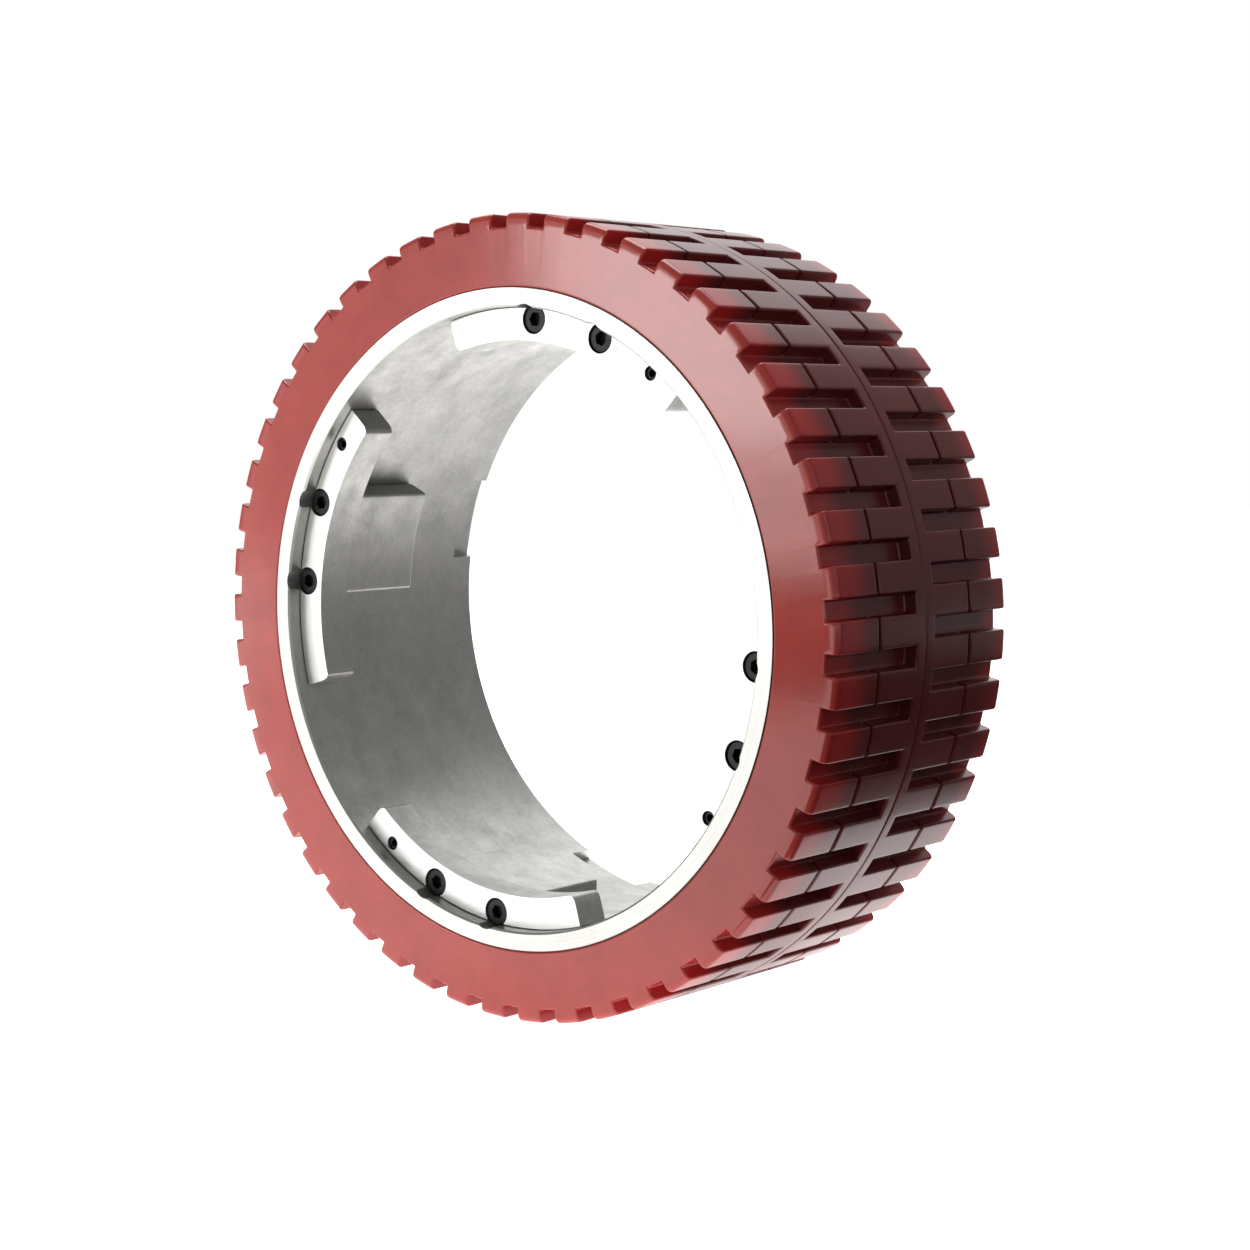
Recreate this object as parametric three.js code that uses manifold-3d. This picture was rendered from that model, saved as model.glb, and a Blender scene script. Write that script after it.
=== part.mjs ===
// Serrated contact drum for a floor drum sander, as a wheel about the Y axis.
// Millimetres, +Z up. The origin is the drum's centre: on its axis, halfway across its width.
// The front, with the recessed claws and their screw heads, faces -Y.
// Angles are in degrees, anticlockwise from +X as the front is looked at.
import * as THREE from 'three';
import { mergeVertices } from 'three/addons/utils/BufferGeometryUtils.js';
import Module from 'manifold-3d';

// Driving dimensions
const outerRadius = 125;
const width = 90;
const bondRadius = 102.6;       // where the rubber meets the ring
const boreRadius = 96.6;        // inside of the ring
const fitGap = 0.3;             // clearance between pieces that touch

// Tread: two bands side by side, with the rear one half a groove further round
const grooveCount = 50;
const grooveDepth = 4.5;
const grooveTopWidth = 6.8;
const grooveFloorWidth = 5.8;
const grooveRunOut = 4.6;       // plain rubber between a groove's end and the seam
const firstGroove = 0.5;        // angle of the front band's first groove

// Ring
const frontChamfer = 0.6;
const rearChamfer = 2.2;
const notchDepth = 3.8;         // rear notches, measured outwards from the bore
const notchLength = 11;
const notchStart = 61.5;
const notchEnd = 78.5;

// Stations: four sets of claw, block, screws and pin, a quarter turn apart
const stations = [
  { name: 'top', turn: 0 },
  { name: 'left', turn: 90 },
  { name: 'bottom', turn: 180 },
  { name: 'right', turn: 270 },
];
const clawStart = 43.5;
const clawEnd = 102;
const clawInnerRadius = 86.5;
const clawRecess = 5;           // the claw's face sits this far behind the rim
const clawThickness = 12;
const clawCornerRadius = 3;
const blockStart = 61.5;
const blockEnd = 83.6;
const blockInnerRadius = 88.2;
const blockRearY = 4.5;
const blockCornerRadius = 1.5;

// Fasteners
const boltRadius = 93.1;        // distance of the screws and pins from the axis
const clawScrew = {
  angles: { a: 80.9, b: 64.2 },
  headRadius: 4.25, headHeight: 5, headChamfer: 0.5,
  shankRadius: 2.45, length: 25,
  socketRadius: 2.31, socketDepth: 2.5,
  counterboreRadius: 4.6, counterboreDepth: 5.8,
  holeRadius: 2.75, tapBeyondTip: 2,
};
const springPin = {
  angle: 50.6, radius: 2, boreRadius: 1.1, length: 15,
  frontSetback: 0.8, holeRadius: 2.25,
};
const blockScrew = {
  angle: 72.5, headRadius: 3.7, headHeight: 2.2, headLand: 0.4,
  shankRadius: 1.95, length: 10,
  sink: 0.3, insetY: 8,
};

// How finely the round shapes are faceted
const ringSegments = 96;
const headSegments = 18;
const holeSegments = 12;
const pinSegments = 16;
const countersinkSegments = 12;
const clawArcSegments = 12;
const blockArcSegments = 6;
const pastFace = 1;             // how far a cutter runs on past the face that it opens
const mergeDistance = 1e-4;

const frontY = -width / 2;
const rearY = width / 2;
const clawFrontY = frontY + clawRecess;
const clawRearY = clawFrontY + clawThickness;
const clawSeatY = clawFrontY + clawScrew.counterboreDepth;   // where a claw screw's head rests

const rubber = new THREE.MeshStandardMaterial({ color: 0xb8423c, roughness: 0.45, metalness: 0 });
const castAluminium = new THREE.MeshStandardMaterial({ color: 0xb9bab6, roughness: 0.5, metalness: 1 });
const milledAluminium = new THREE.MeshStandardMaterial({ color: 0xd9dad8, roughness: 0.35, metalness: 1 });
const blackSteel = new THREE.MeshStandardMaterial({ color: 0x26282a, roughness: 0.5, metalness: 0.6 });
const springSteel = new THREE.MeshStandardMaterial({ color: 0x3a3b3d, roughness: 0.4, metalness: 0.9 });

const wasm = await Module();
wasm.setup();

const radians = (degrees) => THREE.MathUtils.degToRad(degrees);

// A closed three.js geometry as a solid that can be cut
function solidOf(geometry) {
  const bare = geometry.clone();
  bare.deleteAttribute('normal');
  bare.deleteAttribute('uv');
  const merged = mergeVertices(bare, mergeDistance);
  return new wasm.Manifold(new wasm.Mesh({
    numProp: 3,
    vertProperties: new Float32Array(merged.attributes.position.array),
    triVerts: new Uint32Array(merged.index.array),
  }));
}

function geometryOf(solid) {
  const mesh = solid.getMesh();
  const geometry = new THREE.BufferGeometry();
  geometry.setAttribute('position', new THREE.BufferAttribute(mesh.vertProperties, 3));
  geometry.setIndex(new THREE.BufferAttribute(mesh.triVerts, 1));
  geometry.computeVertexNormals();
  return geometry;
}

function cut(blank, cutters) {
  let solid = solidOf(blank);
  for (const cutter of cutters) {
    solid = solid.subtract(solidOf(cutter));
  }
  return geometryOf(solid);
}

// An outline drawn as the front is seen, given its thickness along the axis
function plate(shape, fromY, toY, curveSegments = 1) {
  const settings = { depth: toY - fromY, bevelEnabled: false, curveSegments };
  const geometry = new THREE.ExtrudeGeometry(shape, settings);
  return geometry.rotateX(Math.PI / 2).translate(0, toY, 0);
}

// A round bar along the drum's axis, on the circle of the screws and pins
function axialBar(radius, fromY, toY, angle, sides) {
  const x = boltRadius * Math.cos(radians(angle));
  const z = boltRadius * Math.sin(radians(angle));
  return new THREE.CylinderGeometry(radius, radius, toY - fromY, sides).translate(x, (fromY + toY) / 2, z);
}

// Moves something built along +Y at the origin so that it points outwards, at an angle round the drum
function pointOutwards(geometry, angle, atY) {
  return geometry.rotateZ(-Math.PI / 2).rotateY(-radians(angle)).translate(0, atY, 0);
}

function sector(innerRadius, outerSectorRadius, startAngle, endAngle, cornerRadius = 0) {
  const shape = new THREE.Shape();
  const start = radians(startAngle);
  const end = radians(endAngle);
  const cornerTurn = cornerRadius / innerRadius;
  const onCircle = (radius, angle) => [radius * Math.cos(angle), radius * Math.sin(angle)];
  shape.absarc(0, 0, outerSectorRadius, start, end, false);
  shape.lineTo(...onCircle(innerRadius + cornerRadius, end));
  if (cornerRadius > 0) {
    shape.quadraticCurveTo(...onCircle(innerRadius, end), ...onCircle(innerRadius, end - cornerTurn));
  }
  shape.absarc(0, 0, innerRadius, end - cornerTurn, start + cornerTurn, true);
  if (cornerRadius > 0) {
    shape.quadraticCurveTo(...onCircle(innerRadius, start), ...onCircle(innerRadius + cornerRadius, start));
  }
  shape.closePath();
  return shape;
}

function ringOf(profile, segments) {
  const points = [...profile, profile[0]].map(([radius, y]) => new THREE.Vector2(radius, y));
  return new THREE.LatheGeometry(points, segments);
}

// One rubber band: a plain ring with grooves open at its outer face and closed before the seam
function treadBand(outerFaceY, seamY, firstGrooveAngle) {
  const low = Math.min(outerFaceY, seamY);
  const high = Math.max(outerFaceY, seamY);
  const blank = ringOf([[bondRadius, low], [outerRadius, low], [outerRadius, high], [bondRadius, high]],
    2 * grooveCount);
  const towardsSeam = Math.sign(seamY - outerFaceY);
  const openEnd = outerFaceY - towardsSeam * pastFace;
  const closedEnd = seamY - towardsSeam * grooveRunOut;
  const topRadius = outerRadius + pastFace;
  const floorRadius = outerRadius - grooveDepth;
  const flare = (grooveTopWidth - grooveFloorWidth) / 2 / grooveDepth;
  const halfTop = grooveTopWidth / 2 + flare * pastFace;
  const profile = new THREE.Shape([
    new THREE.Vector2(floorRadius, -grooveFloorWidth / 2), new THREE.Vector2(topRadius, -halfTop),
    new THREE.Vector2(topRadius, halfTop), new THREE.Vector2(floorRadius, grooveFloorWidth / 2),
  ]);
  const cutters = [];
  for (let index = 0; index < grooveCount; index += 1) {
    const angle = radians(firstGrooveAngle + index * 360 / grooveCount);
    const cutter = plate(profile, Math.min(openEnd, closedEnd), Math.max(openEnd, closedEnd));
    cutters.push(cutter.rotateY(-angle));
  }
  return cut(blank, cutters);
}

// The aluminium ring, with the claw screws' counterbores biting into its front rim,
// a notch in its rear rim behind each station, and countersunk holes for the blocks' screws
function drumRing() {
  const ringOuter = bondRadius - fitGap;
  const blank = ringOf([
    [boreRadius + frontChamfer, frontY], [ringOuter, frontY], [ringOuter, rearY],
    [boreRadius + rearChamfer, rearY], [boreRadius, rearY - rearChamfer], [boreRadius, frontY + frontChamfer],
  ], ringSegments);
  const cutters = [];
  for (const { turn } of stations) {
    for (const angle of Object.values(clawScrew.angles)) {
      cutters.push(axialBar(clawScrew.counterboreRadius, frontY - pastFace, clawSeatY, angle + turn,
        headSegments));
    }
    const notch = sector(clawInnerRadius, boreRadius + notchDepth, notchStart + turn, notchEnd + turn);
    cutters.push(plate(notch, rearY - notchLength, rearY + pastFace, blockArcSegments));
    for (const atY of blockScrewPlaces()) {
      cutters.push(pointOutwards(countersunkBar(fitGap, pastFace), blockScrew.angle + turn, atY));
    }
  }
  return cut(blank, cutters);
}

function blockScrewPlaces() {
  return [clawRearY + fitGap + blockScrew.insetY, blockRearY - blockScrew.insetY];
}

// A countersunk screw's outline about +Y, its head's top just below the ring's outside.
// A margin makes it the hole for that screw, and overrun carries the hole on past both ends.
function countersunkBar(margin, overrun) {
  const headTop = bondRadius - fitGap - blockScrew.sink;
  const headBottom = headTop - blockScrew.headHeight;
  const end = headTop - blockScrew.length;
  const wide = blockScrew.headRadius + margin;
  const narrow = blockScrew.shankRadius + margin;
  const outline = [
    [0, end - overrun], [narrow, end - overrun], [narrow, headBottom - margin],
    [wide, headTop - blockScrew.headLand - margin], [wide, headTop + overrun], [0, headTop + overrun],
  ].map(([radius, y]) => new THREE.Vector2(radius, y));
  return new THREE.LatheGeometry(outline, countersinkSegments);
}

function claw(turn) {
  const outline = sector(clawInnerRadius, boreRadius - fitGap, clawStart + turn, clawEnd + turn,
    clawCornerRadius);
  const blank = plate(outline, clawFrontY, clawRearY, clawArcSegments);
  const cutters = [];
  for (const angle of Object.values(clawScrew.angles)) {
    cutters.push(axialBar(clawScrew.counterboreRadius, clawFrontY - pastFace, clawSeatY, angle + turn,
      headSegments));
    const holeEndY = clawRearY + pastFace;
    cutters.push(axialBar(clawScrew.holeRadius, clawFrontY, holeEndY, angle + turn, holeSegments));
  }
  const pinAngle = springPin.angle + turn;
  cutters.push(axialBar(springPin.holeRadius, clawFrontY - pastFace, clawRearY + pastFace, pinAngle,
    holeSegments));
  return cut(blank, cutters);
}

// The threaded block behind a claw, which the claw's two screws pull up against
function stopBlock(turn) {
  const outline = sector(blockInnerRadius, boreRadius - fitGap, blockStart + turn, blockEnd + turn,
    blockCornerRadius);
  const blank = plate(outline, clawRearY + fitGap, blockRearY, blockArcSegments);
  const cutters = [];
  const holeStartY = clawRearY - pastFace;
  const threadEndY = clawSeatY - fitGap + clawScrew.length + clawScrew.tapBeyondTip;
  for (const angle of Object.values(clawScrew.angles)) {
    cutters.push(axialBar(clawScrew.holeRadius, holeStartY, threadEndY, angle + turn, holeSegments));
  }
  for (const atY of blockScrewPlaces()) {
    cutters.push(pointOutwards(countersunkBar(fitGap, pastFace), blockScrew.angle + turn, atY));
  }
  return cut(blank, cutters);
}

// Socket-head cap screw along the axis, its head towards -Y
function clawScrewBody(angle) {
  const headBottomY = clawSeatY - fitGap;
  const headTopY = headBottomY - clawScrew.headHeight;
  const chamfer = clawScrew.headChamfer;
  const outline = [
    [0, headTopY], [clawScrew.headRadius - chamfer, headTopY], [clawScrew.headRadius, headTopY + chamfer],
    [clawScrew.headRadius, headBottomY], [clawScrew.shankRadius, headBottomY],
    [clawScrew.shankRadius, headBottomY + clawScrew.length], [0, headBottomY + clawScrew.length],
  ].map(([radius, y]) => new THREE.Vector2(radius, y));
  const body = new THREE.LatheGeometry(outline, headSegments);
  const socketDepth = clawScrew.socketDepth + pastFace;
  const socket = new THREE.CylinderGeometry(clawScrew.socketRadius, clawScrew.socketRadius, socketDepth, 6)
    .translate(0, headTopY - pastFace + socketDepth / 2, 0);
  const x = boltRadius * Math.cos(radians(angle));
  const z = boltRadius * Math.sin(radians(angle));
  return cut(body, [socket]).translate(x, 0, z);
}

// Hollow spring pin, pressed into the claw and standing out behind it
function springPinBody(angle) {
  const nearY = clawFrontY + springPin.frontSetback;
  const farY = nearY + springPin.length;
  const tube = ringOf([[springPin.boreRadius, nearY], [springPin.radius, nearY], [springPin.radius, farY],
    [springPin.boreRadius, farY]], pinSegments);
  return tube.translate(boltRadius * Math.cos(radians(angle)), 0, boltRadius * Math.sin(radians(angle)));
}

const drum = new THREE.Group();

function addPiece(name, geometry, material) {
  const mesh = new THREE.Mesh(geometry, material);
  mesh.name = name;
  drum.add(mesh);
}

const pitch = 360 / grooveCount;
addPiece('tread_band_front', treadBand(frontY, -fitGap / 2, firstGroove), rubber);
addPiece('tread_band_rear', treadBand(rearY, fitGap / 2, firstGroove + pitch / 2), rubber);
addPiece('drum_ring', drumRing(), castAluminium);
for (const { name, turn } of stations) {
  addPiece(`claw_${name}`, claw(turn), milledAluminium);
  addPiece(`stop_block_${name}`, stopBlock(turn), castAluminium);
  addPiece(`spring_pin_${name}`, springPinBody(springPin.angle + turn), springSteel);
  for (const [letter, angle] of Object.entries(clawScrew.angles)) {
    addPiece(`claw_screw_${name}_${letter}`, clawScrewBody(angle + turn), blackSteel);
  }
  blockScrewPlaces().forEach((atY, index) => {
    const screw = pointOutwards(countersunkBar(0, 0), blockScrew.angle + turn, atY);
    addPiece(`block_screw_${name}_${'ab'[index]}`, screw, blackSteel);
  });
}

export default drum;
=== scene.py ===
# Serrated contact drum of a floor drum sander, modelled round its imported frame.
# The drum's axis is Y and its front faces -Y. Angles are in degrees, anticlockwise as the front is seen.
import bpy
import bmesh
import math
from mathutils import Matrix, Vector


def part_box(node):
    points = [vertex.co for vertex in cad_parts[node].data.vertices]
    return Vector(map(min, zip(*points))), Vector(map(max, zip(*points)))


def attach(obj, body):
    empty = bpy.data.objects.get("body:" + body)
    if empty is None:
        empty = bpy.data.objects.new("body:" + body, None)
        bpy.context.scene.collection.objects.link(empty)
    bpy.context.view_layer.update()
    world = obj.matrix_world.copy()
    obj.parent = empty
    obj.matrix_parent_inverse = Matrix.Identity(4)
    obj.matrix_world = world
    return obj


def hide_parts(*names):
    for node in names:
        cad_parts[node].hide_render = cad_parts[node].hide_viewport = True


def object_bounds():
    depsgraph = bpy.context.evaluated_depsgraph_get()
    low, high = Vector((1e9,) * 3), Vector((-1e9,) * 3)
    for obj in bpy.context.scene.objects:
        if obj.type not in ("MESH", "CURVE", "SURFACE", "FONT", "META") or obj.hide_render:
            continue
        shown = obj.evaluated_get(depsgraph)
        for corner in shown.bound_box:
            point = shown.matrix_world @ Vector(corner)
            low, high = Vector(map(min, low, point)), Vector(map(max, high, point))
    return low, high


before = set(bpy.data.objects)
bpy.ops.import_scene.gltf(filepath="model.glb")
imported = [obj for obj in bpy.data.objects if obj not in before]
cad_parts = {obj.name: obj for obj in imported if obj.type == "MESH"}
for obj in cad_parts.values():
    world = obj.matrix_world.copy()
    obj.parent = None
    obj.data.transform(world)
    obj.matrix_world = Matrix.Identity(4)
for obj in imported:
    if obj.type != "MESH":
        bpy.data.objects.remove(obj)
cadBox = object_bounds()
bpy.ops.object.select_all(action="DESELECT")
mm = 0.001
near = 0.01 * mm        # how close counts as being at a place
nearAngle = 0.1
weld = 0.002 * mm       # points closer than this are merged
reach = 1 * mm          # how far a cutter runs past the face that it enters

# What the whole drum shares. The outside comes from the frame, in metres like everything below.
drum = {
    "outerRadius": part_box("tread_band_front")[1][0],
    "frontY": cadBox[0][1],
    "rearY": cadBox[1][1],
    "bondRadius": 102.6 * mm,
    "ringOuterRadius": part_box("drum_ring")[1][0],
    "boreRadius": 96.6 * mm,
    "boltRadius": 93.1 * mm,
    "fitGap": 0.3 * mm,
}
stations = {"top": 0, "left": 90, "bottom": 180, "right": 270}
print("frame loaded, drum radius", round(drum["outerRadius"] / mm, 2), "mm")


# Camera

camera = {
    "azimuth": 39.63,
    "elevation": 2.42,
    "roll": 3.06,
    "lens": 71.3,
    "back": 764 * mm,       # from the centre of the drum's front face
    "right": 37.4 * mm,
    "down": 1.0 * mm,
}


def addCamera():
    turn = (
        Matrix.Rotation(math.radians(camera["azimuth"]), 4, "Z")
        @ Matrix.Rotation(math.radians(90 - camera["elevation"]), 4, "X")
        @ Matrix.Rotation(math.radians(-camera["roll"]), 4, "Z")
    )
    offset = turn @ Vector((camera["right"], -camera["down"], camera["back"]))
    bpy.ops.object.camera_add()
    taker = bpy.context.object
    taker.name = "productCamera"
    taker.matrix_world = Matrix.Translation(Vector((0, drum["frontY"], 0)) + offset) @ turn
    taker.data.lens = camera["lens"]
    taker.data.clip_end = 20
    bpy.context.scene.camera = taker


addCamera()
print("camera placed")


# Working helpers


def linear(hexColor):
    # sRGB hex to the linear colour that a shader takes
    channels = [int(hexColor[i:i + 2], 16) / 255 for i in (1, 3, 5)]
    return [c / 12.92 if c <= 0.04045 else ((c + 0.055) / 1.055) ** 2.4 for c in channels] + [1]


def addNode(tree, kind, settings=None, **links):
    # one node, its settings by attribute or socket name, and its inputs fed from other nodes' sockets
    node = tree.nodes.new(kind)
    for name, value in (settings or {}).items():
        if isinstance(name, str) and hasattr(node, name):
            setattr(node, name, value)
        else:
            node.inputs[name].default_value = value
    for name, socket in links.items():
        key = int(name[5:]) if name.startswith("input") else name.replace("_", " ")
        tree.links.new(socket, node.inputs[key])
    return node


def selectOnly(piece):
    bpy.ops.object.select_all(action="DESELECT")
    piece.select_set(True)
    bpy.context.view_layer.objects.active = piece


def edit(piece):
    selectOnly(piece)
    bpy.ops.object.mode_set(mode="EDIT")


def stopEditing():
    bpy.ops.object.mode_set(mode="OBJECT")


def pick(piece, kind, test):
    # selects what passes the test on its middle point
    bpy.ops.mesh.select_mode(type=kind)
    bpy.ops.mesh.select_all(action="DESELECT")
    mesh = bmesh.from_edit_mesh(piece.data)
    for part in {"VERT": mesh.verts, "EDGE": mesh.edges, "FACE": mesh.faces}[kind]:
        if kind == "VERT":
            middle = part.co
        elif kind == "EDGE":
            middle = (part.verts[0].co + part.verts[1].co) / 2
        else:
            middle = part.calc_center_median()
        if test(middle, part):
            part.select_set(True)
    mesh.select_flush_mode()
    bmesh.update_edit_mesh(piece.data)


def radiusOf(point):
    return math.hypot(point.x, point.z)


def angleOf(point):
    return math.degrees(math.atan2(point.z, point.x)) % 360


def cleanUp():
    # merges doubles and turns every face outwards, in edit mode
    bpy.ops.mesh.select_all(action="SELECT")
    bpy.ops.mesh.remove_doubles(threshold=weld)
    bpy.ops.mesh.normals_make_consistent(inside=False)


def modify(piece, kind, **settings):
    selectOnly(piece)
    bpy.ops.object.modifier_add(type=kind)
    modifier = piece.modifiers[-1]
    for name, value in settings.items():
        setattr(modifier, name, value)
    bpy.ops.object.modifier_apply(modifier=modifier.name)


def turnAboutAxis(piece, degrees):
    # bakes a turn about the drum's axis into the mesh
    selectOnly(piece)
    piece.rotation_euler = (0, -math.radians(degrees), 0)
    bpy.ops.object.transform_apply(location=True, rotation=True, scale=True)


def moveOut(piece, distance):
    # bakes a move away from the drum's axis, along +X, into the mesh
    selectOnly(piece)
    piece.location = (distance, 0, 0)
    bpy.ops.object.transform_apply(location=True, rotation=True, scale=True)


def spinSection(name, innerRadius, outerRadius, fromY, toY, sweep, steps, shapeSection=None):
    # a rectangle in the plane of the axis, shaped and then spun anticlockwise round the drum's axis from +X
    bpy.ops.object.select_all(action="DESELECT")
    bpy.ops.mesh.primitive_plane_add(size=1, location=((innerRadius + outerRadius) / 2, (fromY + toY) / 2, 0))
    piece = bpy.context.object
    piece.name = name
    piece.data.name = name
    piece.scale = (outerRadius - innerRadius, toY - fromY, 1)
    bpy.ops.object.transform_apply(location=True, rotation=True, scale=True)
    edit(piece)
    if shapeSection:
        shapeSection(piece)
    bpy.ops.mesh.select_all(action="SELECT")
    fullTurn = sweep >= 360
    if fullTurn:
        bpy.ops.mesh.delete(type="ONLY_FACE")
        pick(piece, "EDGE", lambda middle, edge: fromY + near < middle.y < toY - near
             and innerRadius + near < middle.x < outerRadius - near
             and abs(edge.verts[0].co.y - edge.verts[1].co.y) < near)
        bpy.ops.mesh.delete(type="EDGE")        # the marks across the section would become inner walls
        bpy.ops.mesh.select_all(action="SELECT")
    bpy.ops.mesh.spin(steps=steps, angle=math.radians(sweep), center=(0, 0, 0), axis=(0, 1, 0))
    cleanUp()
    if not fullTurn:
        bpy.ops.mesh.select_all(action="DESELECT")
        bpy.ops.mesh.select_mode(type="EDGE")
        bpy.ops.mesh.select_non_manifold(extend=False, use_wire=False, use_multi_face=False, use_verts=False)
        bpy.ops.mesh.edge_face_add()
        cleanUp()
    stopEditing()
    return piece


def axialCylinder(name, radius, fromY, toY, angle, atRadius, sides):
    # a bar along the drum's axis, at an angle and distance from it
    bpy.ops.object.select_all(action="DESELECT")
    turn = math.radians(angle)
    bpy.ops.mesh.primitive_cylinder_add(
        vertices=sides, radius=radius, depth=toY - fromY, rotation=(math.pi / 2, 0, 0),
        location=(atRadius * math.cos(turn), (fromY + toY) / 2, atRadius * math.sin(turn)),
    )
    bar = bpy.context.object
    bar.name = name
    bpy.ops.object.transform_apply(location=True, rotation=True, scale=True)
    return bar


def breakEdges(piece, width, segments, sharperThan):
    # rounds the edges whose faces meet at more than an angle
    modify(piece, "BEVEL", width=width, segments=segments, limit_method="ANGLE",
           angle_limit=math.radians(sharperThan))


def cutWith(piece, cutters):
    # joins the cutters that don't touch each other and takes them out of the piece
    selectOnly(cutters[0])
    for cutter in cutters[1:]:
        cutter.select_set(True)
    if len(cutters) > 1:
        bpy.ops.object.join()
    cutter = bpy.context.object
    modify(piece, "BOOLEAN", operation="DIFFERENCE", object=cutter, solver="EXACT")
    bpy.data.objects.remove(cutter)


def paintFaces(piece, slotIndex, test):
    # gives the faces that pass the test another of the piece's materials
    edit(piece)
    pick(piece, "FACE", test)
    piece.active_material_index = slotIndex
    bpy.ops.object.material_slot_assign()
    stopEditing()


def copyTurned(piece, name, degrees):
    copied = piece.copy()
    copied.data = piece.data.copy()
    copied.name = name
    copied.data.name = name
    bpy.context.scene.collection.objects.link(copied)
    turnAboutAxis(copied, degrees)
    return copied


def finishPiece(piece, materials, nodes=()):
    # smooth shading that stops at sharp edges, then the piece's materials, body and the nodes it stands for
    piece.data.materials.clear()
    for material in materials:
        piece.data.materials.append(material)
    selectOnly(piece)
    bpy.ops.object.shade_smooth_by_angle(angle=math.radians(35))
    modify(piece, "WEIGHTED_NORMAL", keep_sharp=True, weight=100)   # the flats stay flat beside rounded edges
    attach(piece, "root")
    if nodes:
        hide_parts(*nodes)


# Materials

commonNoise = {"From Min": 0.3, "From Max": 0.7}        # where nearly all of a noise texture's values lie


def startMaterial(name):
    material = bpy.data.materials.new(name)
    material.use_nodes = True
    return material, material.node_tree.nodes["Principled BSDF"]


rubberFinish = {
    "sideRed": "#AA3E37",
    # painted shade: this maroon stands for the red tread lying in shadow along its middle
    "paintedShadeMaroon": "#601E1F",
    "endRed": "#A52424",
    "rearRed": "#9C2E2E",
    "frontRedWidth": 19 * mm,       # how far the red reaches in from the front side face, before the painted shade
    "rearRedWidth": 13 * mm,
    "redBlend": 13 * mm,
    "wander": 9 * mm,               # how far the edge of the red strays
    "treadRadius": 119 * mm,        # outside this the rubber has the tread's colours
    "radiusBlend": 1 * mm,
    "sideSkin": 0.3 * mm,           # how deep the side face's own colour and gloss go
    "sideBlend": 1.3 * mm,
    "sideRoughness": 0.09,
    "treadRoughness": 0.27,
    "roughnessGrain": 0.04,
    "grain": 1.2 * mm,
    "grainDepth": 0.04 * mm,
    "sideRelief": 0.12,
    "treadRelief": 0.7,
    "mottle": 12 * mm,
    "mottleShade": 0.12,
    "ior": 1.5,
}


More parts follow.
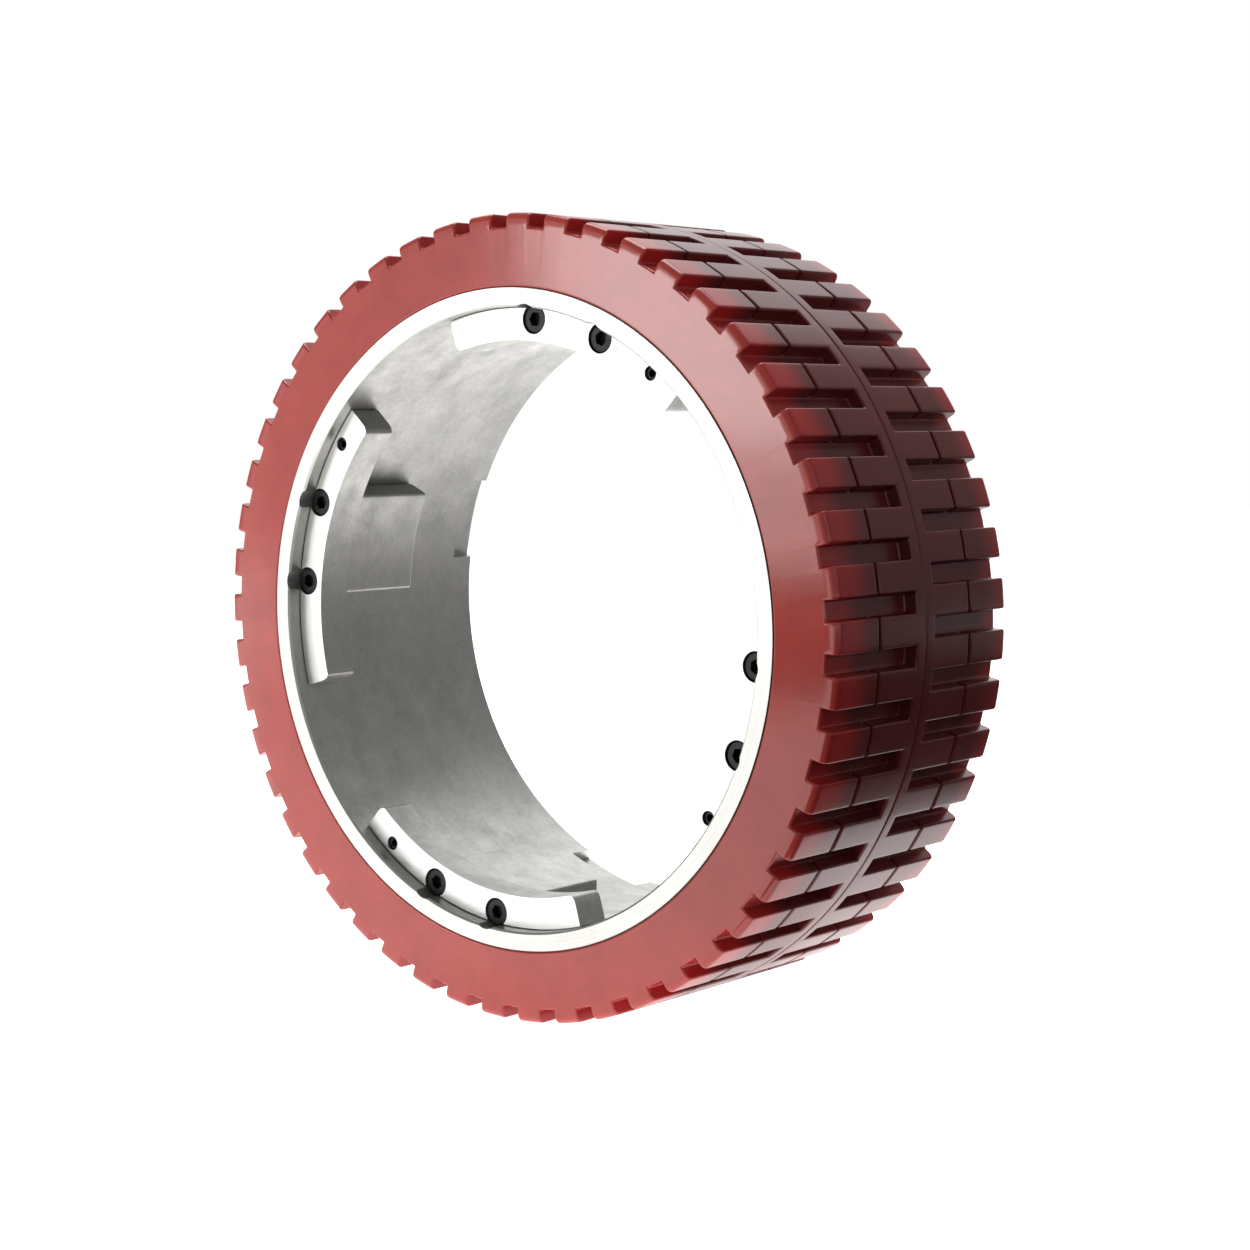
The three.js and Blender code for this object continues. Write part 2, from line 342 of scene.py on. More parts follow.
def makeRubber():
    # Moulded polyurethane rubber, turned true on its sides: clear salmon red with a smooth gloss there,
    # deeper red along the tread's edges, and a dark maroon painted shade along its middle where the red tread
    # lies in shadow
    material, shader = startMaterial("mouldedRedRubber")
    tree = material.node_tree
    place = addNode(tree, "ShaderNodeTexCoord")
    axes = addNode(tree, "ShaderNodeSeparateXYZ", Vector=place.outputs["Object"])
    flat = addNode(tree, "ShaderNodeCombineXYZ", X=axes.outputs["X"], Z=axes.outputs["Z"])
    radius = addNode(tree, "ShaderNodeVectorMath", {"operation": "LENGTH"}, input0=flat.outputs[0])
    mottle = addNode(
        tree, "ShaderNodeTexNoise",
        {"Scale": 1 / rubberFinish["mottle"], "Detail": 5, "Roughness": 0.65}, Vector=place.outputs["Object"],
    )
    wander = addNode(
        tree, "ShaderNodeMath", {"operation": "MULTIPLY_ADD", 1: rubberFinish["wander"]},
        input0=mottle.outputs["Fac"], input2=axes.outputs["Y"],
    )
    middle = rubberFinish["wander"] / 2     # what the wander adds on average

    def fadeAcross(fromY, toY):
        return addNode(
            tree, "ShaderNodeMapRange",
            {"interpolation_type": "SMOOTHSTEP", "From Min": fromY + middle, "From Max": toY + middle},
            Value=wander.outputs[0],
        )

    frontEdge = drum["frontY"] + rubberFinish["frontRedWidth"]
    rearEdge = drum["rearY"] - rubberFinish["rearRedWidth"]
    fromFront = fadeAcross(frontEdge - rubberFinish["redBlend"], frontEdge)
    toRear = fadeAcross(rearEdge, rearEdge + rubberFinish["redBlend"])
    # red at the tread's edges fades into the painted shade of maroon along its middle
    frontHalf = addNode(
        tree, "ShaderNodeMix",
        {"data_type": "RGBA", 6: linear(rubberFinish["endRed"]), 7: linear(rubberFinish["paintedShadeMaroon"])},
        Factor=fromFront.outputs[0],
    )
    treadRedAndPaintedShade = addNode(
        tree, "ShaderNodeMix", {"data_type": "RGBA", 7: linear(rubberFinish["rearRed"])},
        Factor=toRear.outputs[0], input6=frontHalf.outputs[2],
    )
    across = addNode(tree, "ShaderNodeMath", {"operation": "ABSOLUTE"}, input0=axes.outputs["Y"])
    skinY = drum["rearY"] - rubberFinish["sideSkin"]
    onSide = addNode(
        tree, "ShaderNodeMapRange",
        {"interpolation_type": "SMOOTHSTEP",
         "From Min": skinY - rubberFinish["sideBlend"], "From Max": skinY},
        Value=across.outputs[0],
    )
    onTread = addNode(
        tree, "ShaderNodeMapRange",
        {"interpolation_type": "SMOOTHSTEP",
         "From Min": rubberFinish["treadRadius"] - rubberFinish["radiusBlend"],
         "From Max": rubberFinish["treadRadius"] + rubberFinish["radiusBlend"]},
        Value=radius.outputs["Value"],
    )
    sideOrTread = addNode(
        tree, "ShaderNodeMix", {"data_type": "RGBA", 7: linear(rubberFinish["sideRed"])},
        Factor=onSide.outputs[0], input6=treadRedAndPaintedShade.outputs[2],
    )
    body = addNode(
        tree, "ShaderNodeMix", {"data_type": "RGBA", 6: linear(rubberFinish["sideRed"])},
        Factor=onTread.outputs[0], input7=sideOrTread.outputs[2],
    )
    shade = addNode(
        tree, "ShaderNodeMapRange",
        {**commonNoise, "To Min": 1 - rubberFinish["mottleShade"], "To Max": 1 + rubberFinish["mottleShade"]},
        Value=mottle.outputs["Fac"],
    )
    tinted = addNode(tree, "ShaderNodeHueSaturation", Color=body.outputs[2], Value=shade.outputs[0])
    grain = addNode(
        tree, "ShaderNodeTexNoise",
        {"Scale": 1 / rubberFinish["grain"], "Detail": 4, "Roughness": 0.65}, Vector=place.outputs["Object"],
    )
    gloss = addNode(
        tree, "ShaderNodeMapRange",
        {"To Min": rubberFinish["treadRoughness"], "To Max": rubberFinish["sideRoughness"]},
        Value=onSide.outputs[0],
    )
    worn = addNode(
        tree, "ShaderNodeMath", {"operation": "MULTIPLY_ADD", 1: rubberFinish["roughnessGrain"]},
        input0=grain.outputs["Fac"], input2=gloss.outputs[0],
    )
    relief = addNode(
        tree, "ShaderNodeMapRange",
        {"To Min": rubberFinish["treadRelief"], "To Max": rubberFinish["sideRelief"]},
        Value=onSide.outputs[0],
    )
    bump = addNode(
        tree, "ShaderNodeBump", {"Distance": rubberFinish["grainDepth"]}, Height=grain.outputs["Fac"],
        Strength=relief.outputs[0],
    )
    tree.links.new(tinted.outputs[0], shader.inputs["Base Color"])
    tree.links.new(worn.outputs[0], shader.inputs["Roughness"])
    tree.links.new(bump.outputs[0], shader.inputs["Normal"])
    shader.inputs["IOR"].default_value = rubberFinish["ior"]
    return material


turnedFinish = {
    "color": "#C9C8C4",
    "noiseSpan": (0.25, 0.75),      # where nearly all of the ridges' noise lies
    "shades": (0.88, 1.06),         # in and on the ridges
    "roughness": (0.29, 0.44),
    "ridge": 0.9 * mm,
    "ridgeDepth": 0.02 * mm,
    "ridgeRelief": 0.5,
    "cloud": 18 * mm,
}


def makeTurnedAluminium():
    # Aluminium turned on a lathe: fine rings run round the end faces and stretch reflections across them
    material, shader = startMaterial("turnedAluminium")
    tree = material.node_tree
    place = addNode(tree, "ShaderNodeTexCoord")
    axes = addNode(tree, "ShaderNodeSeparateXYZ", Vector=place.outputs["Object"])
    flat = addNode(tree, "ShaderNodeCombineXYZ", X=axes.outputs["X"], Z=axes.outputs["Z"])
    radius = addNode(tree, "ShaderNodeVectorMath", {"operation": "LENGTH"}, input0=flat.outputs[0])
    travel = addNode(
        tree, "ShaderNodeMath", {"operation": "ADD"}, input0=radius.outputs["Value"], input1=axes.outputs["Y"]
    )
    ridges = addNode(
        tree, "ShaderNodeTexNoise",
        {"noise_dimensions": "1D", "Scale": 1 / turnedFinish["ridge"], "Detail": 3, "Roughness": 0.7},
        W=travel.outputs[0],
    )
    cloud = addNode(
        tree, "ShaderNodeTexNoise", {"Scale": 1 / turnedFinish["cloud"], "Detail": 4},
        Vector=place.outputs["Object"],
    )
    dull = addNode(
        tree, "ShaderNodeMapRange",
        {**commonNoise, "To Min": turnedFinish["roughness"][0], "To Max": turnedFinish["roughness"][1]},
        Value=cloud.outputs["Fac"],
    )
    shade = addNode(
        tree, "ShaderNodeMapRange",
        {"From Min": turnedFinish["noiseSpan"][0], "From Max": turnedFinish["noiseSpan"][1],
         "To Min": turnedFinish["shades"][0], "To Max": turnedFinish["shades"][1]},
        Value=ridges.outputs["Fac"],
    )
    tone = addNode(
        tree, "ShaderNodeHueSaturation", {"Color": linear(turnedFinish["color"])}, Value=shade.outputs[0]
    )
    bump = addNode(
        tree, "ShaderNodeBump",
        {"Strength": turnedFinish["ridgeRelief"], "Distance": turnedFinish["ridgeDepth"]},
        Height=ridges.outputs["Fac"],
    )
    tree.links.new(tone.outputs[0], shader.inputs["Base Color"])
    tree.links.new(dull.outputs[0], shader.inputs["Roughness"])
    tree.links.new(bump.outputs[0], shader.inputs["Normal"])
    shader.inputs["Metallic"].default_value = 1
    return material


castFinish = {
    "dark": "#A5A4A1",
    "pale": "#C6C5C1",
    "roughness": (0.52, 0.36),      # of the dark and of the pale patches
    "cloud": 16 * mm,
    "speck": 1.6 * mm,
    "speckShare": 0.45,             # how much the specks count beside the clouds
    "darkest": 0.5,
    "palest": 0.95,
    "speckDepth": 0.06 * mm,
    "speckRelief": 0.3,
}


def makeCastAluminium():
    # Aluminium as cast and then lightly skimmed: a mottled, dull grey skin with shallow pits
    material, shader = startMaterial("skimmedCastAluminium")
    tree = material.node_tree
    place = addNode(tree, "ShaderNodeTexCoord")
    cloud = addNode(
        tree, "ShaderNodeTexNoise", {"Scale": 1 / castFinish["cloud"], "Detail": 6, "Roughness": 0.72},
        Vector=place.outputs["Object"],
    )
    speck = addNode(
        tree, "ShaderNodeTexNoise", {"Scale": 1 / castFinish["speck"], "Detail": 4, "Roughness": 0.7},
        Vector=place.outputs["Object"],
    )
    mixed = addNode(
        tree, "ShaderNodeMath", {"operation": "MULTIPLY_ADD", 1: castFinish["speckShare"]},
        input0=speck.outputs["Fac"], input2=cloud.outputs["Fac"],
    )
    blend = addNode(
        tree, "ShaderNodeMapRange", {"From Min": castFinish["darkest"], "From Max": castFinish["palest"]},
        Value=mixed.outputs[0],
    )
    tone = addNode(
        tree, "ShaderNodeMix",
        {"data_type": "RGBA", 6: linear(castFinish["dark"]), 7: linear(castFinish["pale"])},
        Factor=blend.outputs[0],
    )
    dull = addNode(
        tree, "ShaderNodeMapRange",
        {**commonNoise, "To Min": castFinish["roughness"][0], "To Max": castFinish["roughness"][1]},
        Value=cloud.outputs["Fac"],
    )
    bump = addNode(
        tree, "ShaderNodeBump", {"Strength": castFinish["speckRelief"], "Distance": castFinish["speckDepth"]},
        Height=speck.outputs["Fac"],
    )
    tree.links.new(tone.outputs[2], shader.inputs["Base Color"])
    tree.links.new(dull.outputs[0], shader.inputs["Roughness"])
    tree.links.new(bump.outputs[0], shader.inputs["Normal"])
    shader.inputs["Metallic"].default_value = 1
    return material


milledFinish = {
    "color": "#DEDEDB",
    "roughness": (0.36, 0.52),
    "toolMark": 1.4 * mm,
    "markStretch": (0.08, 0.5, 1),  # the marks are drawn out sideways
    "markTurn": 35,
    "markDepth": 0.02 * mm,
    "markRelief": 0.4,
}


def makeMilledAluminium():
    # Aluminium faced with an end mill: bright, with faint parallel tool marks
    material, shader = startMaterial("milledAluminium")
    tree = material.node_tree
    place = addNode(tree, "ShaderNodeTexCoord")
    stretch = addNode(
        tree, "ShaderNodeMapping",
        {"Scale": milledFinish["markStretch"], "Rotation": (0, math.radians(milledFinish["markTurn"]), 0)},
        Vector=place.outputs["Object"],
    )
    marks = addNode(
        tree, "ShaderNodeTexNoise", {"Scale": 1 / milledFinish["toolMark"], "Detail": 3, "Roughness": 0.6},
        Vector=stretch.outputs[0],
    )
    dull = addNode(
        tree, "ShaderNodeMapRange",
        {**commonNoise, "To Min": milledFinish["roughness"][0], "To Max": milledFinish["roughness"][1]},
        Value=marks.outputs["Fac"],
    )
    bump = addNode(
        tree, "ShaderNodeBump",
        {"Strength": milledFinish["markRelief"], "Distance": milledFinish["markDepth"]},
        Height=marks.outputs["Fac"],
    )
    tree.links.new(dull.outputs[0], shader.inputs["Roughness"])
    tree.links.new(bump.outputs[0], shader.inputs["Normal"])
    shader.inputs["Base Color"].default_value = linear(milledFinish["color"])
    shader.inputs["Metallic"].default_value = 1
    return material


blackenedFinish = {
    "color": "#2B2C2D",
    "shades": (0.7, 1.4),           # of the oxide and of its bloom
    "roughness": (0.34, 0.54),
    "metallic": 0.8,
    "bloom": 3 * mm,
}


def makeBlackenedSteel():
    # Steel with a black oxide skin: near black, with a faint cloudy bloom where the oil has dried
    material, shader = startMaterial("blackenedSteel")
    tree = material.node_tree
    place = addNode(tree, "ShaderNodeTexCoord")
    bloom = addNode(
        tree, "ShaderNodeTexNoise", {"Scale": 1 / blackenedFinish["bloom"], "Detail": 6, "Roughness": 0.7},
        Vector=place.outputs["Object"],
    )
    shade = addNode(
        tree, "ShaderNodeMapRange",
        {**commonNoise, "To Min": blackenedFinish["shades"][0], "To Max": blackenedFinish["shades"][1]},
        Value=bloom.outputs["Fac"],
    )
    tone = addNode(
        tree, "ShaderNodeHueSaturation", {"Color": linear(blackenedFinish["color"])}, Value=shade.outputs[0]
    )
    dull = addNode(
        tree, "ShaderNodeMapRange",
        {**commonNoise, "To Min": blackenedFinish["roughness"][0], "To Max": blackenedFinish["roughness"][1]},
        Value=bloom.outputs["Fac"],
    )
    tree.links.new(tone.outputs[0], shader.inputs["Base Color"])
    tree.links.new(dull.outputs[0], shader.inputs["Roughness"])
    shader.inputs["Metallic"].default_value = blackenedFinish["metallic"]
    return material


primerFinish = {"dark": "#4A2A26", "pale": "#6B3D36", "roughness": 0.5, "patch": 2.5 * mm}


def makeBondingPrimer():
    # Cured bonding primer in the joint between rubber and metal: a dark, slightly glossy brown line
    material, shader = startMaterial("bondingPrimer")
    tree = material.node_tree
    place = addNode(tree, "ShaderNodeTexCoord")
    patches = addNode(
        tree, "ShaderNodeTexNoise", {"Scale": 1 / primerFinish["patch"], "Detail": 3},
        Vector=place.outputs["Object"],
    )
    tone = addNode(
        tree, "ShaderNodeMix",
        {"data_type": "RGBA", 6: linear(primerFinish["dark"]), 7: linear(primerFinish["pale"])},
        Factor=patches.outputs["Fac"],
    )
    tree.links.new(tone.outputs[2], shader.inputs["Base Color"])
    shader.inputs["Roughness"].default_value = primerFinish["roughness"]
    return material


rubber = makeRubber()
turnedAluminium = makeTurnedAluminium()
milledAluminium = makeMilledAluminium()
castAluminium = makeCastAluminium()
blackenedSteel = makeBlackenedSteel()
bondingPrimer = makeBondingPrimer()
print("materials made")


# Tread

tread = {
    "grooves": 50,
    "cellsPerPitch": 10,
    "landCells": 6,
    "firstGroove": 0.5,
    "grooveDepth": 4.5 * mm,
    "runOut": 4.6 * mm,
    "slitWidth": 1.3 * mm,
    "slitFromSide": 21 * mm,
    "seamGap": 0.3 * mm,
    "seamDepth": 1.6 * mm,      # from the lands down to the primer between the bands
    "bondClearance": 0.02 * mm,
    "cornerRound": 1.1 * mm,
    "shoulder": 2.2 * mm,
    "bondInset": 0.5 * mm,      # how far the bond line stops short of the side faces
    "bondSteps": 225,
}


def makeTreadBand(name):
    # The band is spun at the grooves' floor, then its lands are raised by one extrusion of their cells
    floorRadius = drum["outerRadius"] - tread["grooveDepth"]
    seamY = -tread["seamGap"] / 2
    grooveEndY = seamY - tread["runOut"]
    slitY = drum["frontY"] + tread["slitFromSide"]
    slitHalf = tread["slitWidth"] / 2
    cells = tread["grooves"] * tread["cellsPerPitch"]
    cellAngle = 360 / cells

    def markSteps(piece):
        for atY in (slitY - slitHalf, slitY + slitHalf, grooveEndY):
            bpy.ops.mesh.select_all(action="SELECT")
            bpy.ops.mesh.bisect(plane_co=(0, atY, 0), plane_no=(0, 1, 0))

    band = spinSection(
        name, drum["bondRadius"], floorRadius, drum["frontY"], seamY, 360, cells, markSteps
    )
    grooveCells = tread["cellsPerPitch"] - tread["landCells"]

    def isLand(middle, face):
        if radiusOf(middle) < floorRadius - near:
            return False
        if middle.y > grooveEndY:
            return True
        cell = int(((angleOf(middle) + cellAngle * grooveCells / 2) % 360) / cellAngle)
        return cell % tread["cellsPerPitch"] >= grooveCells and abs(middle.y - slitY) > slitHalf

    edit(band)
    pick(band, "FACE", isLand)
    bpy.ops.mesh.extrude_region_move()
    grow = drum["outerRadius"] / floorRadius
    bpy.ops.transform.resize(value=(grow, 1, grow), center_override=(0, 0, 0))
    cleanUp()
    pick(band, "EDGE", lambda middle, edge: middle.y < drum["frontY"] + near
         and all(radiusOf(v.co) > drum["outerRadius"] - near for v in edge.verts))
    bpy.ops.mesh.bevel(offset=tread["shoulder"], segments=3, affect="EDGES")
    stopEditing()
    breakEdges(band, tread["cornerRound"], 3, 50)
    return band


def makeTread():
    # the rear band is the front one mirrored and turned by half a groove; primer fills the joints
    front = makeTreadBand("treadBandFront")
    rear = front.copy()
    rear.data = front.data.copy()
    rear.name = "treadBandRear"
    rear.data.name = "treadBandRear"
    bpy.context.scene.collection.objects.link(rear)
    rear.scale = (1, -1, 1)
    turnAboutAxis(front, tread["firstGroove"])
    turnAboutAxis(rear, tread["firstGroove"] + 180 / tread["grooves"])
    edit(rear)
    cleanUp()
    stopEditing()
    finishPiece(front, [rubber], ["tread_band_front"])
    finishPiece(rear, [rubber], ["tread_band_rear"])
    clear = tread["bondClearance"]
    half = tread["seamGap"] / 2 - clear
    sleeve = spinSection(
        "bondLine", drum["ringOuterRadius"] + clear, drum["bondRadius"] - clear,
        drum["frontY"] + tread["bondInset"], drum["rearY"] - tread["bondInset"], 360, tread["bondSteps"],
    )
    seam = spinSection(
        "seamBond", drum["bondRadius"] + clear, drum["outerRadius"] - tread["seamDepth"], -half, half, 360,
        tread["bondSteps"],
    )
    for joint in (sleeve, seam):
        finishPiece(joint, [bondingPrimer])


makeTread()
print("tread bands made")


# Ring

ring = {
    "steps": 360,
    "frontChamfer": 0.6 * mm,
    "rearChamfer": 2.2 * mm,
    "notchDepth": 3.8 * mm,
    "notchLength": 11 * mm,
    "notchStart": 61.5,
    "notchEnd": 78.5,
    "notchSteps": 17,
    "notchCutterInside": 4 * mm,
    "edgeBreak": 0.25 * mm,
    "frontRim": 1 * mm,         # how far in the turned surface reaches, here and from the rear
    "rearRim": 3 * mm,
}
clawScrew = {
    "angles": {"a": 80.9, "b": 64.2},
    "headRadius": 4.25 * mm,
    "headHeight": 5 * mm,
    "shankRadius": 2.45 * mm,
    "length": 25 * mm,
    "socketRadius": 2.31 * mm,
    "socketDepth": 2.5 * mm,
    "counterboreRadius": 4.6 * mm,
    "counterboreDepth": 5.8 * mm,
    "holeRadius": 2.75 * mm,
    "headRound": 0.5 * mm,
    "edgeBreak": 0.12 * mm,
    "sides": 48,
    "holeSides": 32,
}
claw = {
    "start": 43.5,
    "end": 102,
    "innerRadius": 86.5 * mm,
    "frontY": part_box("claw_top")[0][1],
    "rearY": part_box("claw_top")[1][1],
    "steps": 48,
    "cornerRound": 3 * mm,
    "edgeBreak": 0.22 * mm,
    "facedDepth": 1 * mm,       # how far in from its front the claw is milled
}
counterboreEndY = claw["frontY"] + clawScrew["counterboreDepth"]
faceTilt = 0.3      # a normal with more of the axis in it than this belongs to a machined end face


def makeRing():
    # The ring's section is chamfered and spun, then the counterbores and rear notches are cut

    def chamferSection(piece):
        for atY, width in ((drum["frontY"], ring["frontChamfer"]), (drum["rearY"], ring["rearChamfer"])):
            pick(piece, "VERT", lambda middle, vert, y=atY: abs(middle.y - y) < near
                 and radiusOf(middle) < drum["boreRadius"] + near)
            bpy.ops.mesh.bevel(offset=width, affect="VERTICES")

    piece = spinSection(
        "drumRing", drum["boreRadius"], drum["ringOuterRadius"], drum["frontY"], drum["rearY"], 360,
        ring["steps"], chamferSection,
    )
    cutters = []
    for turn in stations.values():
        for angle in clawScrew["angles"].values():
            cutters.append(axialCylinder(
                "counterbore", clawScrew["counterboreRadius"], drum["frontY"] - reach, counterboreEndY,
                angle + turn, drum["boltRadius"], clawScrew["sides"],
            ))
        notch = spinSection(
            "notch", drum["boreRadius"] - ring["notchCutterInside"], drum["boreRadius"] + ring["notchDepth"],
            drum["rearY"] - ring["notchLength"], drum["rearY"] + reach, ring["notchEnd"] - ring["notchStart"],
            ring["notchSteps"],
        )
        turnAboutAxis(notch, ring["notchStart"] + turn)
        cutters.append(notch)
    cutWith(piece, cutters)
    breakEdges(piece, ring["edgeBreak"], 2, 40)
    finishPiece(piece, [castAluminium, turnedAluminium], ["drum_ring"])
    frontRimY = drum["frontY"] + ring["frontRim"]
    rearRimY = drum["rearY"] - ring["rearRim"]
    paintFaces(piece, 1, lambda middle, face: abs(face.normal.y) > faceTilt
               and (middle.y < frontRimY or middle.y > rearRimY))


makeRing()
print("ring made")


# Claws, blocks, screws and pins, modelled once and copied round to the four stations

block = {
    "start": 61.5,
    "end": 83.6,
    "innerRadius": 88.2 * mm,
    "frontY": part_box("stop_block_top")[0][1],
    "rearY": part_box("stop_block_top")[1][1],
    "steps": 20,
    "edgeBreak": 0.8 * mm,
}
springPin = {
    "angle": 50.6,
    "radius": 2 * mm,
    "boreRadius": 1.1 * mm,
    "holeRadius": 2.25 * mm,
    "frontY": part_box("spring_pin_top")[0][1],
    "rearY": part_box("spring_pin_top")[1][1],
    "slot": 28,                 # angle that the gap along it takes up
    "steps": 36,
    "holeSides": 32,
    "edgeBreak": 0.2 * mm,
}


def makeClaw():
    # an arc with rounded inner corners, a hole for its pin, and a counterbore and a hole for each screw
    sweep = claw["end"] - claw["start"]
    piece = spinSection(
        "clawPattern", claw["innerRadius"], drum["boreRadius"] - drum["fitGap"],
        claw["frontY"], claw["rearY"], sweep, claw["steps"],
    )
    edit(piece)
    pick(piece, "EDGE", lambda middle, edge: radiusOf(middle) < claw["innerRadius"] + near
         and min(angleOf(middle), 360 - angleOf(middle), abs(angleOf(middle) - sweep)) < nearAngle
         and abs(edge.verts[0].co.y - edge.verts[1].co.y) > near)
    bpy.ops.mesh.bevel(offset=claw["cornerRound"], segments=6, affect="EDGES")
    stopEditing()
    turnAboutAxis(piece, claw["start"])
    cutters = [axialCylinder(
        "pinHole", springPin["holeRadius"], claw["frontY"] - reach, claw["rearY"] + reach,
        springPin["angle"], drum["boltRadius"], springPin["holeSides"],
    )]
    for angle in clawScrew["angles"].values():
        cutters.append(axialCylinder(
            "clawCounterbore", clawScrew["counterboreRadius"], claw["frontY"] - reach, counterboreEndY,
            angle, drum["boltRadius"], clawScrew["sides"],
        ))
    cutWith(piece, cutters)
    holes = []
    for angle in clawScrew["angles"].values():
        holes.append(axialCylinder(
            "clawHole", clawScrew["holeRadius"], claw["frontY"] + reach, claw["rearY"] + reach,
            angle, drum["boltRadius"], clawScrew["holeSides"],
        ))
    cutWith(piece, holes)
    breakEdges(piece, claw["edgeBreak"], 2, 50)
    return piece


def makeBlock():
    piece = spinSection(
        "stopBlockPattern", block["innerRadius"], drum["boreRadius"] - drum["fitGap"],
        block["frontY"], block["rearY"], block["end"] - block["start"], block["steps"],
    )
    turnAboutAxis(piece, block["start"])
    breakEdges(piece, block["edgeBreak"], 3, 50)
    return piece


def makeSpringPin():
    piece = spinSection(
        "springPinPattern", springPin["boreRadius"], springPin["radius"],
        springPin["frontY"], springPin["rearY"], 360 - springPin["slot"], springPin["steps"],
    )
    moveOut(piece, drum["boltRadius"])
    turnAboutAxis(piece, springPin["angle"])
    breakEdges(piece, springPin["edgeBreak"], 2, 50)
    return piece


def makeClawScrew():
    # a socket head: the cylinder's top edge is bevelled, its underside is drawn out into the shank
    headRearY = counterboreEndY - drum["fitGap"]
    headFrontY = headRearY - clawScrew["headHeight"]
    piece = axialCylinder(
        "clawScrewPattern", clawScrew["headRadius"], headFrontY, headRearY, 0, 0, clawScrew["sides"]
    )
    edit(piece)
    pick(piece, "FACE", lambda middle, face: middle.y > headRearY - near)
    shrink = clawScrew["shankRadius"] / clawScrew["headRadius"]
    bpy.ops.mesh.extrude_region_move()
    bpy.ops.transform.resize(value=(shrink, 1, shrink), center_override=(0, headRearY, 0))
    bpy.ops.mesh.extrude_region_move(TRANSFORM_OT_translate={"value": (0, clawScrew["length"], 0)})
    cleanUp()
    pick(piece, "EDGE", lambda middle, edge: abs(middle.y - headFrontY) < near
         and all(radiusOf(v.co) > clawScrew["headRadius"] - near for v in edge.verts))
    bpy.ops.mesh.bevel(offset=clawScrew["headRound"], segments=3, affect="EDGES")
    stopEditing()
    socket = axialCylinder("socket", clawScrew["socketRadius"], headFrontY - reach,
                           headFrontY + clawScrew["socketDepth"], 0, 0, 6)
    cutWith(piece, [socket])
    breakEdges(piece, clawScrew["edgeBreak"], 2, 40)
    moveOut(piece, drum["boltRadius"])
    return piece


def makeStations():
    clawBody = makeClaw()
    blockBody = makeBlock()
    pinBody = makeSpringPin()
    screwBody = makeClawScrew()
    for station, turn in stations.items():
        word = station.capitalize()
        copies = [
            (clawBody, "claw" + word, turn, [castAluminium, milledAluminium], "claw_aluminium",
             "claw_" + station),
            (blockBody, "stopBlock" + word, turn, [castAluminium], "ring_aluminium", "stop_block_" + station),
            (pinBody, "springPin" + word, turn, [blackenedSteel], "spring_steel", "spring_pin_" + station),
        ]
        for letter, angle in clawScrew["angles"].items():
            copies.append((screwBody, "clawScrew" + word + letter.upper(), turn + angle, [blackenedSteel],
                           "black_steel", "claw_screw_" + station + "_" + letter))
        for source, name, degrees, materials, slotName, node in copies:
            piece = copyTurned(source, name, degrees)
            finishPiece(piece, materials, [node])
            if source == clawBody:
                paintFaces(piece, 1, lambda middle, face: face.normal.y < -faceTilt
                           and middle.y < claw["frontY"] + claw["facedDepth"])
        for letter in "ab":
            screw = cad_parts["block_screw_" + station + "_" + letter]
            screw.material_slots[0].material = blackenedSteel
    for source in (clawBody, blockBody, pinBody, screwBody):
        bpy.data.objects.remove(source)


makeStations()
print("claws, blocks, pins and screws made")


# Studio

studio = {
    "floorSize": 30,
    "floorColor": "#E8E8E6",
    "floorGlow": 1.3,
    "floorRoughness": 0.9,
    "floorDrop": 0.2 * mm,      # how far the floor lies below the drum
    "worldColor": "#FFFFFF",
    "worldLight": 0.27,
}
softboxes = {
    "glossBox": {
        "place": (-0.656, -1.015, 0.2), "aim": (0, -0.045, 0.2), "size": (0.265, 0.24), "radiance": 7.2,
    },
    "glossFade": {
        "place": (-0.656, -1.015, 0.03), "aim": (0, -0.045, 0.03), "size": (0.265, 0.1), "radiance": 2.6,
    },
    "frontFill": {
        "place": (-1.3, -1.9, 0.2), "aim": (0, 0, 0.2), "size": (1.7, 1.6), "radiance": 0.9,
    },
    "nearLeftBox": {
        "place": (-0.55, -0.28, 0.03), "aim": (0, -0.05, 0), "size": (0.25, 0.4), "radiance": 0.6,
    },
    "lowBackBox": {
        "place": (-0.9, 1.7, 0.3), "aim": (0, 0, 0.1), "size": (1.6, 0.5), "radiance": 1.2,
    },
    "backLeftBox": {
        "place": (-0.55, 1.0, 0.8), "aim": (0, 0, 0), "size": (1.5, 1.1), "radiance": 1.1,
    },
    "overheadBox": {
        "place": (-0.1, 0.3, 1.3), "aim": (0, 0.25, 0), "size": (0.8, 0.8), "radiance": 6.0,
    },
    "rightFill": {
        "place": (1.1, -0.25, 0.35), "aim": (0, 0, 0), "size": (0.5, 0.5), "radiance": 0.7,
    },
}
shadeCards = {
    "leftCard": {
        "place": (-0.72, -1.06, -0.068), "size": (0.5, 0.106), "turn": (90, 0, -34), "color": "#101010",
    },
    "rightCard": {
        "place": (0.95, 1.65, 0.05), "size": (0.3, 2.7), "turn": (0, 90, 0), "color": "#7C7C7C",
    },
    "floorCard": {
        "place": (0.65, 0.27, -0.122), "size": (1.044, 0.75), "turn": (0, 0, 0), "color": "#101010",
    },
    "floorCardBack": {
        "place": (0.52, 1.375, -0.123), "size": (1.31, 2.41), "turn": (0, 0, 0), "color": "#F0F0F0",
    },
    "floorCardFront": {
        "place": (0.6, -0.8, -0.122), "size": (1.1, 1.4), "turn": (0, 0, 0), "color": "#202020",
    },
}


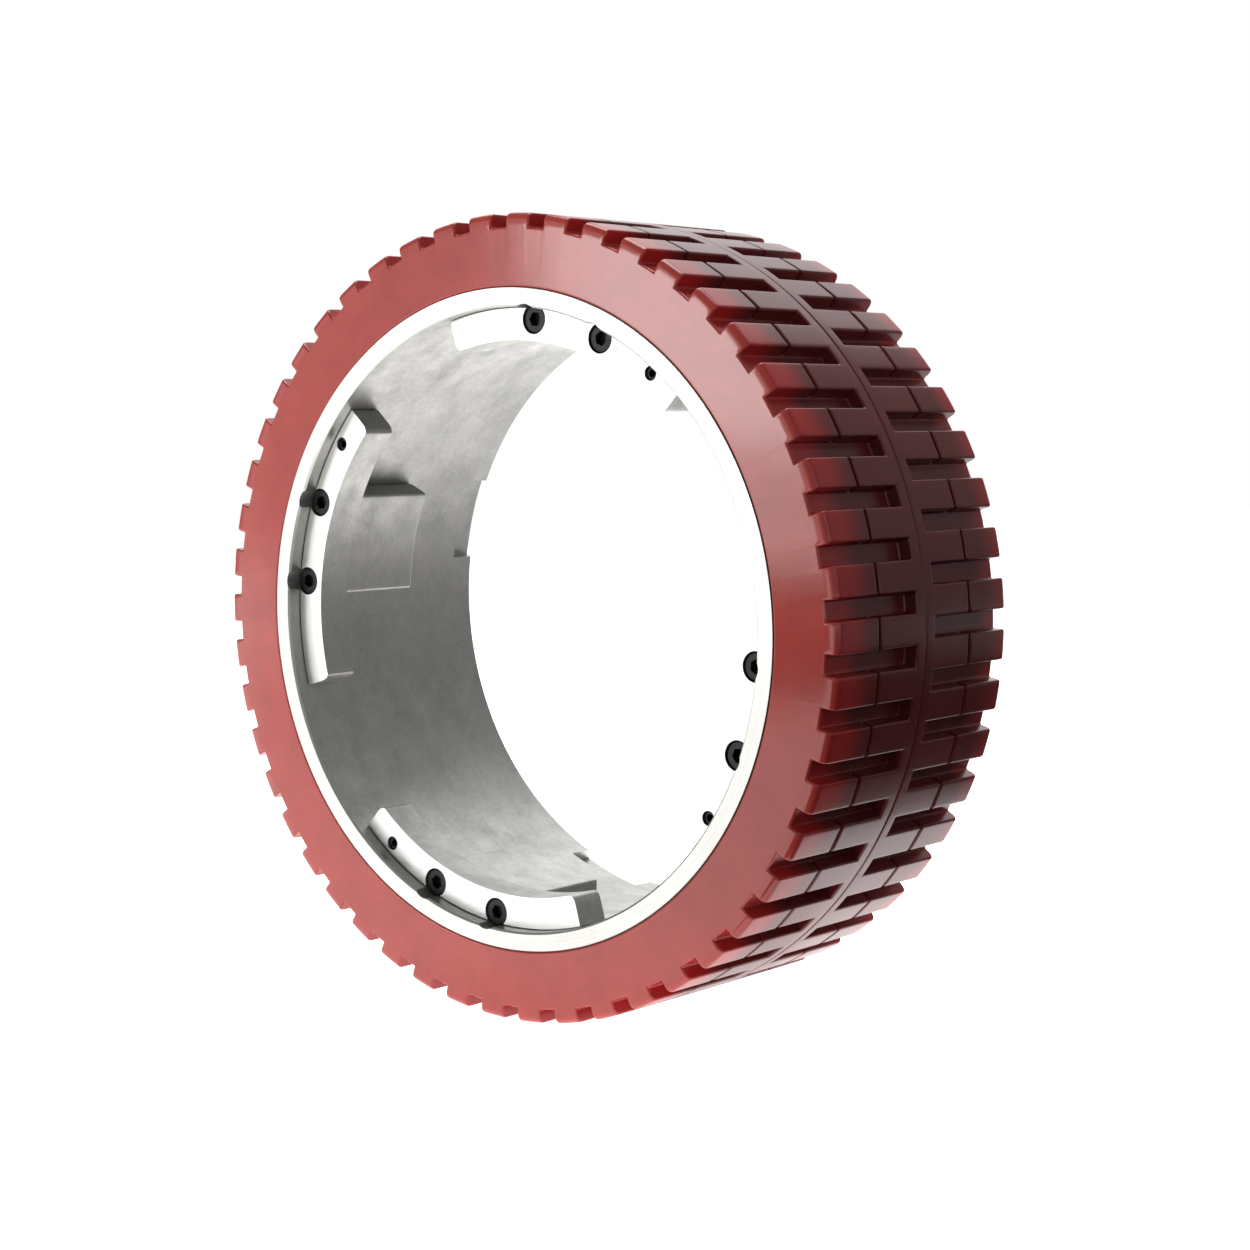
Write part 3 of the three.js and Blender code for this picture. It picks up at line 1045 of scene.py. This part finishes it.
def addSoftbox(name, settings):
    place = Vector(settings["place"])
    width, height = settings["size"]
    bpy.ops.object.light_add(type="AREA", location=place)
    box = bpy.context.object
    box.name = name
    box.data.shape = "RECTANGLE"
    box.data.size = width
    box.data.size_y = height
    box.data.energy = settings["radiance"] * math.pi * width * height
    box.rotation_euler = (Vector(settings["aim"]) - place).to_track_quat("-Z", "Y").to_euler()
    box.visible_camera = False


def addShadeCard(name, settings):
    # a matt card that reflections see and the camera doesn't, to give the gloss something dark to show
    bpy.ops.object.select_all(action="DESELECT")
    bpy.ops.mesh.primitive_plane_add(size=1, location=settings["place"])
    card = bpy.context.object
    card.name = name
    card.scale = (*settings["size"], 1)
    card.rotation_euler = [math.radians(turn) for turn in settings["turn"]]
    bpy.ops.object.transform_apply(location=True, rotation=True, scale=True)
    felt, shader = startMaterial(name + "Felt")
    shader.inputs["Base Color"].default_value = linear(settings["color"])
    shader.inputs["Roughness"].default_value = 1
    card.data.materials.append(felt)
    card.visible_camera = False


def makeStudio():
    bpy.ops.object.select_all(action="DESELECT")
    floorZ = cadBox[0][2] - studio["floorDrop"]
    bpy.ops.mesh.primitive_plane_add(size=studio["floorSize"], location=(0, 0, floorZ))
    floor = bpy.context.object
    floor.name = "studioFloor"
    paint, shader = startMaterial("paleFloor")
    shader.inputs["Base Color"].default_value = linear(studio["floorColor"])
    shader.inputs["Roughness"].default_value = studio["floorRoughness"]
    shader.inputs["Emission Color"].default_value = (1, 1, 1, 1)
    shader.inputs["Emission Strength"].default_value = studio["floorGlow"]
    floor.data.materials.append(paint)

    world = bpy.data.worlds.new("studioWorld")
    bpy.context.scene.world = world
    world.use_nodes = True
    tree = world.node_tree
    ambient = tree.nodes["Background"]
    ambient.inputs["Color"].default_value = linear(studio["worldColor"])
    ambient.inputs["Strength"].default_value = studio["worldLight"]
    seen = addNode(tree, "ShaderNodeLightPath")
    white = addNode(tree, "ShaderNodeBackground", {"Color": (1, 1, 1, 1), "Strength": 1.0})
    mix = addNode(
        tree, "ShaderNodeMixShader", input0=seen.outputs["Is Camera Ray"], input1=ambient.outputs[0],
        input2=white.outputs[0],
    )
    tree.links.new(mix.outputs[0], tree.nodes["World Output"].inputs["Surface"])
    bpy.context.scene.view_settings.view_transform = "Standard"

    for name, settings in softboxes.items():
        addSoftbox(name, settings)
    for name, settings in shadeCards.items():
        addShadeCard(name, settings)


makeStudio()
print("studio made")
